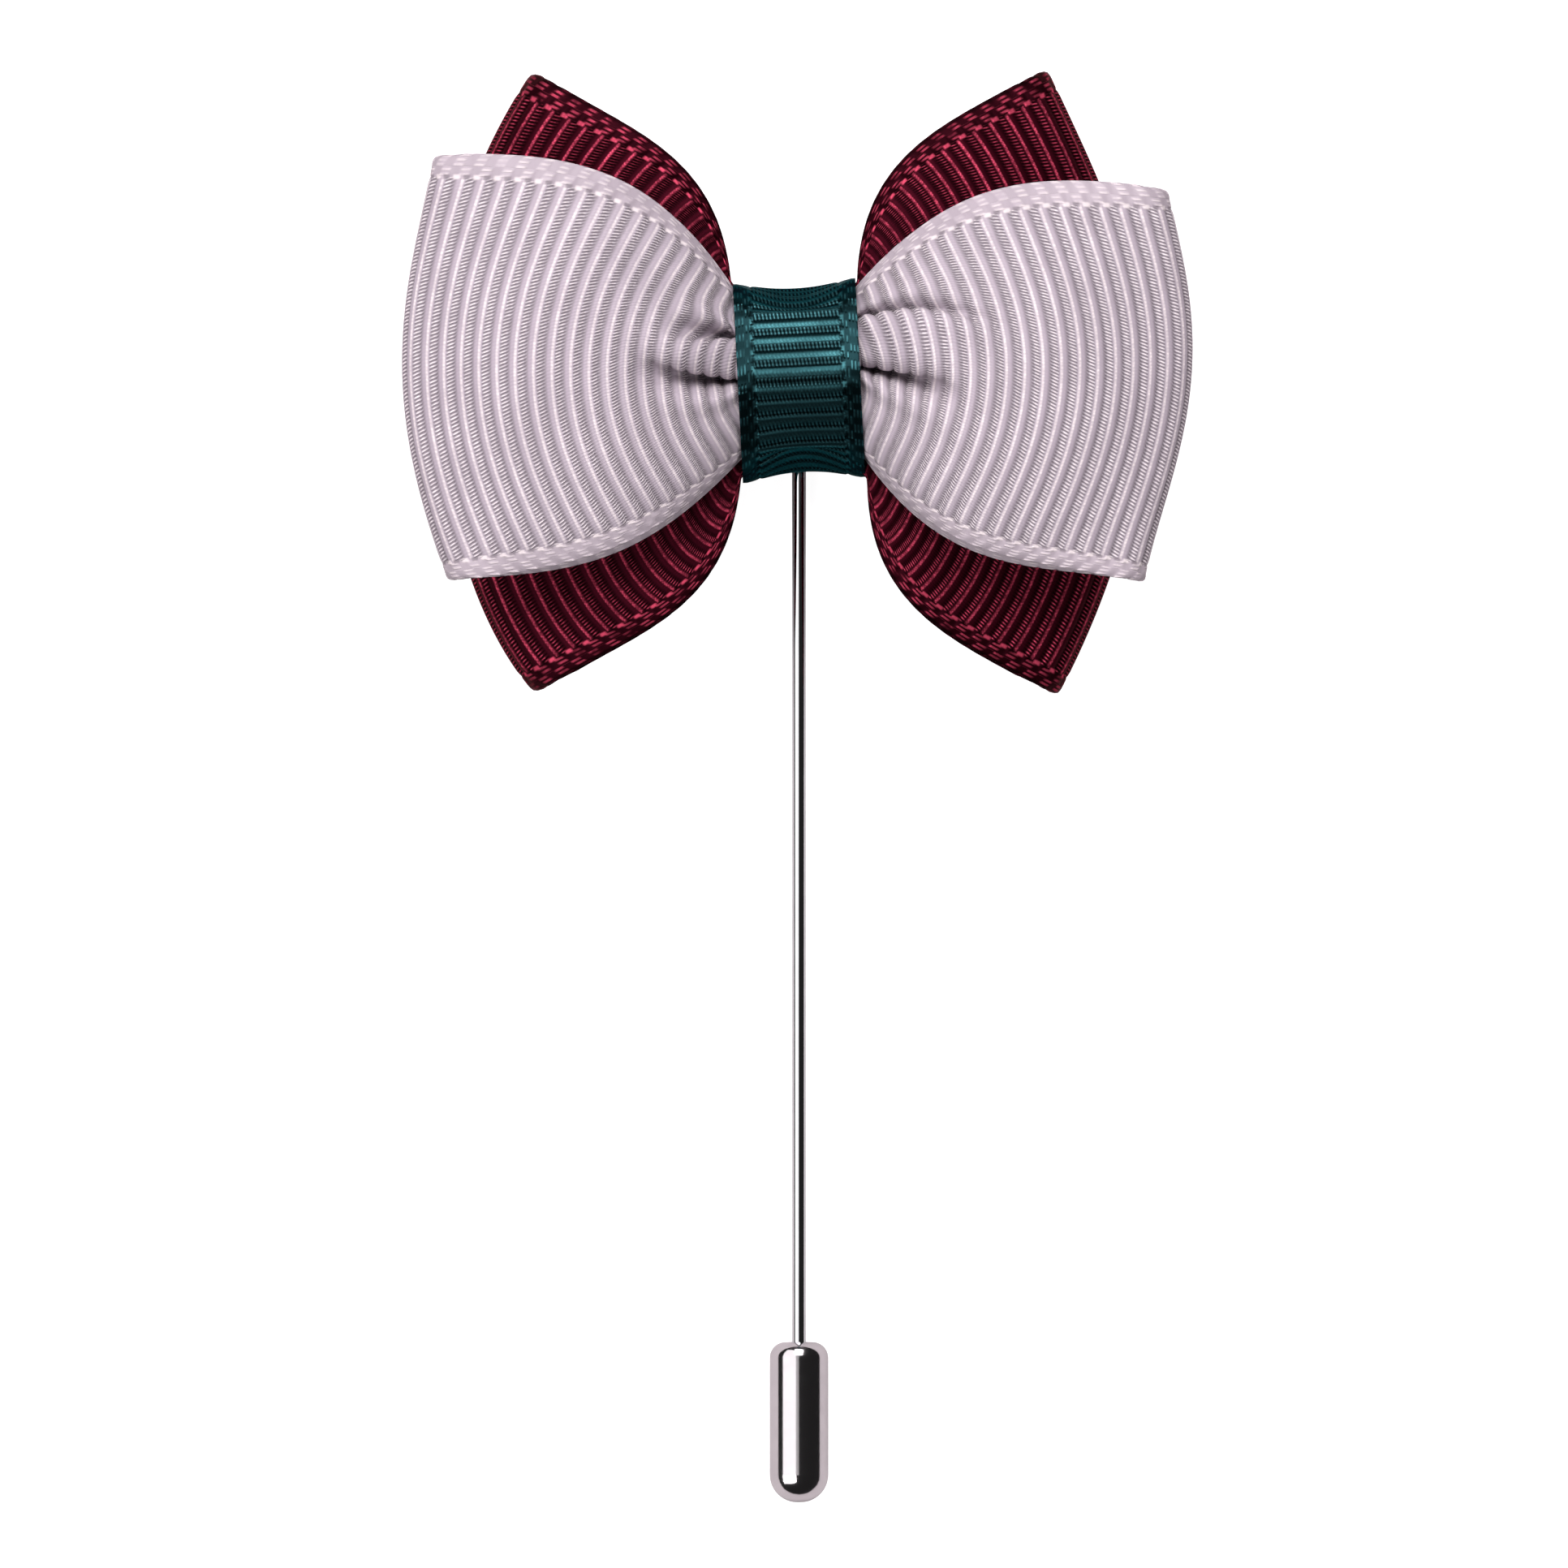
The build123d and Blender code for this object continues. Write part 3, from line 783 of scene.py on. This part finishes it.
def clothMaterial(name, cloth):
    form = weaveForm
    nodes = Nodes(name)
    weaveMap = nodes.add("ShaderNodeUVMap", uv_map="weave")
    split = nodes.add("ShaderNodeSeparateXYZ")
    nodes.link(weaveMap.outputs[0], split.inputs[0])
    rib, lane = split.outputs[0], split.outputs[1]
    # uneven dye and soft wear
    uneven = nodes.cloud(*form["uneven"])
    patches = nodes.cloud(*form["patches"])
    speckle = nodes.cloud(*form["speckle"])
    # place within a rib: 0 on its painted highlight line, growing towards the knot, 0.5 in the groove
    within = nodes.math("FRACT", nodes.math("ADD", rib, 0.5))
    topEnd, topFade, topFirst, topFull = cloth["top"]
    line = nodes.math("ADD", nodes.invert(nodes.ramp(within, topEnd, topFade)),
                      nodes.ramp(within, topFirst, topFull))
    hatched = nodes.hump(within, *form["hatched"])
    dots = nodes.hump(within, *form["dots"])
    grooveShade = nodes.hump(within, *form["grooveShade"])
    # fine threads, slanted across the groove, with painted glints where they leave the highlight line
    thread = nodes.math("SUBTRACT", nodes.math("DIVIDE", lane, form["threadPitch"]),
                        nodes.times(within, cloth["slant"]))
    wave = nodes.wave(thread)
    threads = nodes.ramp(wave, *form["threadWave"])
    stitches = nodes.math("ADD", 0.5, nodes.times(speckle, 0.5))
    # painted glints: bright dots on the threads beside the highlight line
    glints = nodes.times(nodes.ramp(wave, *form["glintWave"]), dots, stitches, cloth["glints"])
    # the groove colour is painted shade between the threads of the hatching
    hatch = nodes.blend(nodes.times(threads, stitches), cloth["groove"], cloth["thread"])
    # flank: the cloth's own colour on the rib's far side, darkened there as painted shade
    body = nodes.blend(nodes.times(hatched, form["hatching"]), cloth["flank"], hatch)
    body = nodes.blend(glints, body, cloth["line"])
    # painted shade in the deepest place between two ribs
    body = nodes.blend(nodes.times(grooveShade, cloth["grooveShade"]), body, cloth["groove"])
    broken = nodes.math("ADD", cloth["even"], nodes.times(speckle, 1.0 - cloth["even"]))
    bare = nodes.invert(nodes.times(nodes.invert(threads), cloth["hatchedTop"]))
    # painted highlight along the smooth top of each rib, broken up at random
    body = nodes.blend(nodes.times(line, broken, bare), body, cloth["line"])
    # selvedge: two rows of bundles of threads that pass over and under, their tops painted with the highlight
    # colour and painted shade between them
    band = cloth["band"]
    edge = nodes.math("MINIMUM", lane, nodes.math("SUBTRACT", cloth["width"], lane))
    low, high = form["selvedgeFade"]
    selvedge = nodes.invert(nodes.ramp(edge, band + low, band + high))
    row = nodes.math("FLOOR", nodes.math("DIVIDE", edge, band / 2))
    slanted = nodes.math("ADD", rib, nodes.times(edge, form["bundleSlant"]))
    over = nodes.math("SUBTRACT", slanted, nodes.times(row, 0.5))
    bundle = nodes.ramp(nodes.wave(over), *form["bundleWave"])
    strands = nodes.ramp(nodes.wave(nodes.times(edge, form["strands"] / band)), *form["strandWave"])
    shown = nodes.times(bundle, strands, patches)
    # painted shade between two bundles
    border = nodes.blend(nodes.times(nodes.invert(bundle), form["between"]), cloth["border"], cloth["groove"])
    # bundle tops painted with the highlight colour
    border = nodes.blend(nodes.times(shown, cloth["bundleHighlight"]), border, cloth["line"])
    # painted shade along the selvedge's outermost edge
    outermost = nodes.invert(nodes.ramp(edge, *form["edge"]))
    border = nodes.blend(nodes.times(outermost, cloth["edgeShade"]), border, cloth["groove"])
    # a row of loops where the ribs end, painted with highlights and with painted shade between them
    loops = nodes.hump(nodes.math("SUBTRACT", band, edge), *form["loops"])
    loopAlong = nodes.wave(nodes.math("ADD", rib, form["loopStart"]))
    loopShare = nodes.times(nodes.ramp(loopAlong, *form["loopWave"]), loops)
    loopShadeShare = nodes.times(nodes.invert(nodes.ramp(loopAlong, *form["loopGap"])), loops)
    colour = nodes.blend(selvedge, body, border)
    # painted highlights on the loops
    colour = nodes.blend(nodes.times(loopShare, form["loopHighlight"]), colour, cloth["line"])
    # painted shade between the loops
    colour = nodes.blend(nodes.times(loopShadeShare, form["loopShade"]), colour, cloth["groove"])
    colour = nodes.blend(nodes.times(uneven, form["wear"]), colour, cloth["groove"])
    rough = nodes.spread(uneven, *(cloth["roughness"] + more for more in form["rougher"]))
    # the threads stand up a little
    woven = nodes.math("ADD", nodes.times(hatched, threads, form["grooveThread"]),
                       nodes.times(nodes.invert(hatched), threads, form["topThread"]))
    height = nodes.math("ADD", nodes.times(woven, nodes.invert(selvedge)),
                        nodes.times(shown, selvedge, form["bundleHeight"]))
    height = nodes.math("ADD", height, nodes.times(loopShare, form["loopHeight"]))
    nodes.bump(height, 1.0, form["bump"])
    lie = nodes.add("ShaderNodeTangent", direction_type="UV_MAP", uv_map="weave")
    nodes.link(lie.outputs[0], nodes.shader.inputs["Tangent"])
    nodes.link(colour, nodes.shader.inputs["Base Color"])
    nodes.link(rough, nodes.shader.inputs["Roughness"])
    nodes.shader.inputs["Metallic"].default_value = cloth["metallic"]
    nodes.shader.inputs["Anisotropic"].default_value = form["anisotropic"]
    nodes.shader.inputs["Anisotropic Rotation"].default_value = form["rotation"]
    nodes.shader.inputs["IOR"].default_value = cloth["ior"]
    nodes.shader.inputs["Specular IOR Level"].default_value = cloth["specular"]
    nodes.shader.inputs["Specular Tint"].default_value = (*cloth["tint"], 1)
    return nodes.material


def dress(piece, material, node):
    piece.data.materials.append(material)
    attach(piece, "brooch")
    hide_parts(node)


materials = {name: clothMaterial(name, cloth) for name, cloth in cloths.items()}
frontRibbon = ribbonMesh("frontRibbon", frontBow)
dress(frontRibbon, materials["lavenderGrosgrain"], "front_bow")
backRibbon = ribbonMesh("backRibbon", backBow)
dress(backRibbon, materials["burgundyGrosgrain"], "back_bow")
wrapRibbon = wrapMesh("wrapRibbon", wrap)
dress(wrapRibbon, materials["tealGrosgrain"], "knot_wrap")
print("ribbons done")

# Metal: the pin and its cap keep their solids and get their own finish
metals = {
    "stick_pin": {"finish": "pinSteel", "colour": (0.88, 0.88, 0.90), "roughness": 0.03},
    "pin_cap": {"finish": "capNickel", "colour": (0.80, 0.745, 0.775), "roughness": 0.11},
}
metalForm = {
    "scale": 900.0,
    "detail": 4.0,
    "smoothest": 0.7,         # shares of its roughness
    "roughest": 1.5,
    "patches": (0.3, 0.7),
    "dull": 0.93,             # how bright the metal is in them
    "strength": 0.12,
    "bump": 0.000004,         # metres
}


def metalMaterial(metal):
    nodes = Nodes(metal["finish"])
    grain = nodes.noise(metalForm["scale"], metalForm["detail"])
    rough = nodes.spread(grain, metal["roughness"] * metalForm["smoothest"],
                         metal["roughness"] * metalForm["roughest"])
    nodes.link(rough, nodes.shader.inputs["Roughness"])
    dull = tuple(metalForm["dull"] * channel for channel in metal["colour"])
    patches = nodes.ramp(grain, *metalForm["patches"])
    nodes.link(nodes.blend(patches, metal["colour"], dull), nodes.shader.inputs["Base Color"])
    nodes.bump(grain, metalForm["strength"], metalForm["bump"])
    nodes.shader.inputs["Metallic"].default_value = 1.0
    return nodes.material


for node, metal in metals.items():
    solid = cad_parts[node]
    material = metalMaterial(metal)
    if not solid.material_slots:
        solid.data.materials.append(material)
    for materialSlot in solid.material_slots:
        materialSlot.material = material
print("metal done")

# Studio: pale floor, a long soft box on the left that runs on, brighter, in front of the
# bow, a key light beyond the bow's upper edge, and soft fill from the right and all round
studio = {
    "floorSize": 3.0,
    "floorColour": (0.42, 0.39, 0.40),
    "floorRoughness": 0.9,
    "floorGlow": 0.93,
    "boxAngle": 39.0,         # degrees left of straight above, seen along the pin
    "boxDistance": 0.6,
    "boxSize": (0.62, 1.0),
    "boxAlong": 0.40,         # how far up the pin its middle stands
    "boxPower": 2.5,
    "edgeAngle": 6.0,         # a dimmer strip beside it
    "edgeSize": (0.11, 1.0),
    "edgePower": 0.16,
    "frontSize": (0.62, 0.34),   # the left box again, brighter in front of the bow
    "frontAlong": -0.27,
    "frontPower": 2.5,
    "keySize": (0.30, 0.50),
    "keyPlace": (0.0, 0.41, 0.47),
    "keyPower": 4.4,
    "rightSize": (0.45, 0.45),   # soft fill, kept out of the metal's shine
    "rightPlace": (0.42, -0.12, 0.42),
    "rightPower": 1.1,
    "fill": 0.13,
    "glossyFill": 0.016,
}


def plane(name, width, depth, place):
    mesh = bpy.data.meshes.new(name)
    x, y = width / 2, depth / 2
    mesh.from_pydata([(-x, -y, 0), (x, -y, 0), (x, y, 0), (-x, y, 0)], [], [(0, 1, 2, 3)])
    obj = bpy.data.objects.new(name, mesh)
    obj.location = place
    bpy.context.collection.objects.link(obj)
    return obj


floor = plane("floor", studio["floorSize"], studio["floorSize"], (0, 0, 0))
floorNodes = Nodes("floorWhite")
floorNodes.shader.inputs["Base Color"].default_value = (*studio["floorColour"], 1)
floorNodes.shader.inputs["Roughness"].default_value = studio["floorRoughness"]
floorNodes.shader.inputs["Emission Color"].default_value = (1, 1, 1, 1)
seen = floorNodes.add("ShaderNodeLightPath")
glow = floorNodes.times(seen.outputs["Is Camera Ray"], studio["floorGlow"])
floorNodes.link(glow, floorNodes.shader.inputs["Emission Strength"])
floor.data.materials.append(floorNodes.material)

# Fill from all round: white behind the scene, much darker in the shine of metal and cloth
world = bpy.data.worlds.new("studio")
world.use_nodes = True
worldTree = world.node_tree
background = worldTree.nodes["Background"]
background.inputs["Color"].default_value = (1, 1, 1, 1)
path = worldTree.nodes.new("ShaderNodeLightPath")
fillStrength = worldTree.nodes.new("ShaderNodeMapRange")
worldTree.links.new(path.outputs["Is Glossy Ray"], fillStrength.inputs["Value"])
fillStrength.inputs["To Min"].default_value = studio["fill"]
fillStrength.inputs["To Max"].default_value = studio["glossyFill"]
behind = worldTree.nodes.new("ShaderNodeMath")
behind.operation = "MAXIMUM"
worldTree.links.new(path.outputs["Is Camera Ray"], behind.inputs[0])
worldTree.links.new(fillStrength.outputs["Result"], behind.inputs[1])
worldTree.links.new(behind.outputs[0], background.inputs["Strength"])
bpy.context.scene.world = world


def areaLight(name, size, place, power, towards):
    light = bpy.data.lights.new(name, "AREA")
    light.shape = "RECTANGLE"
    light.size, light.size_y = size
    light.energy = power
    lamp = bpy.data.objects.new(name, light)
    lamp.location = place
    back = (Vector(place) - Vector(towards)).normalized()
    side = Vector((0, 1, 0)).cross(back).normalized()
    lamp.rotation_euler = Matrix((side, back.cross(side), back)).transposed().to_euler()
    lamp.visible_camera = False
    bpy.context.collection.objects.link(lamp)
    return lamp


for name, angle, size, power, along in (
    ("leftBox", studio["boxAngle"], studio["boxSize"], studio["boxPower"], studio["boxAlong"]),
    ("edgeStrip", studio["edgeAngle"], studio["edgeSize"], studio["edgePower"], studio["boxAlong"]),
    ("frontBox", studio["boxAngle"], studio["frontSize"], studio["frontPower"], studio["frontAlong"]),
):
    turn = radians(angle)
    place = (-studio["boxDistance"] * sin(turn), along, studio["boxDistance"] * cos(turn))
    areaLight(name, size, place, power, (0, along, 0))
areaLight("keyLight", studio["keySize"], studio["keyPlace"], studio["keyPower"], (0, 0, 0))
rightFill = areaLight("rightFill", studio["rightSize"], studio["rightPlace"], studio["rightPower"], (0, 0, 0))
rightFill.visible_glossy = False
bpy.context.scene.view_settings.view_transform = "Standard"
print("studio done")

# Camera: straight above, as the photo is taken
view = {
    "height": 2.5,
    "level": 0.008,           # the frame's width is measured at this level
    "frameWidth": 0.0908,
    "frameCentre": (-0.00087, 0.0002),
    "sensor": 36.0,
    "clip": (0.1, 10.0),
}
camera = bpy.data.cameras.new("camera")
camera.sensor_width = view["sensor"]
camera.lens = view["sensor"] * (view["height"] - view["level"]) / view["frameWidth"]
camera.clip_start, camera.clip_end = view["clip"]
cameraObject = bpy.data.objects.new("camera", camera)
cameraObject.location = (*view["frameCentre"], view["height"])
bpy.context.collection.objects.link(cameraObject)
bpy.context.scene.camera = cameraObject
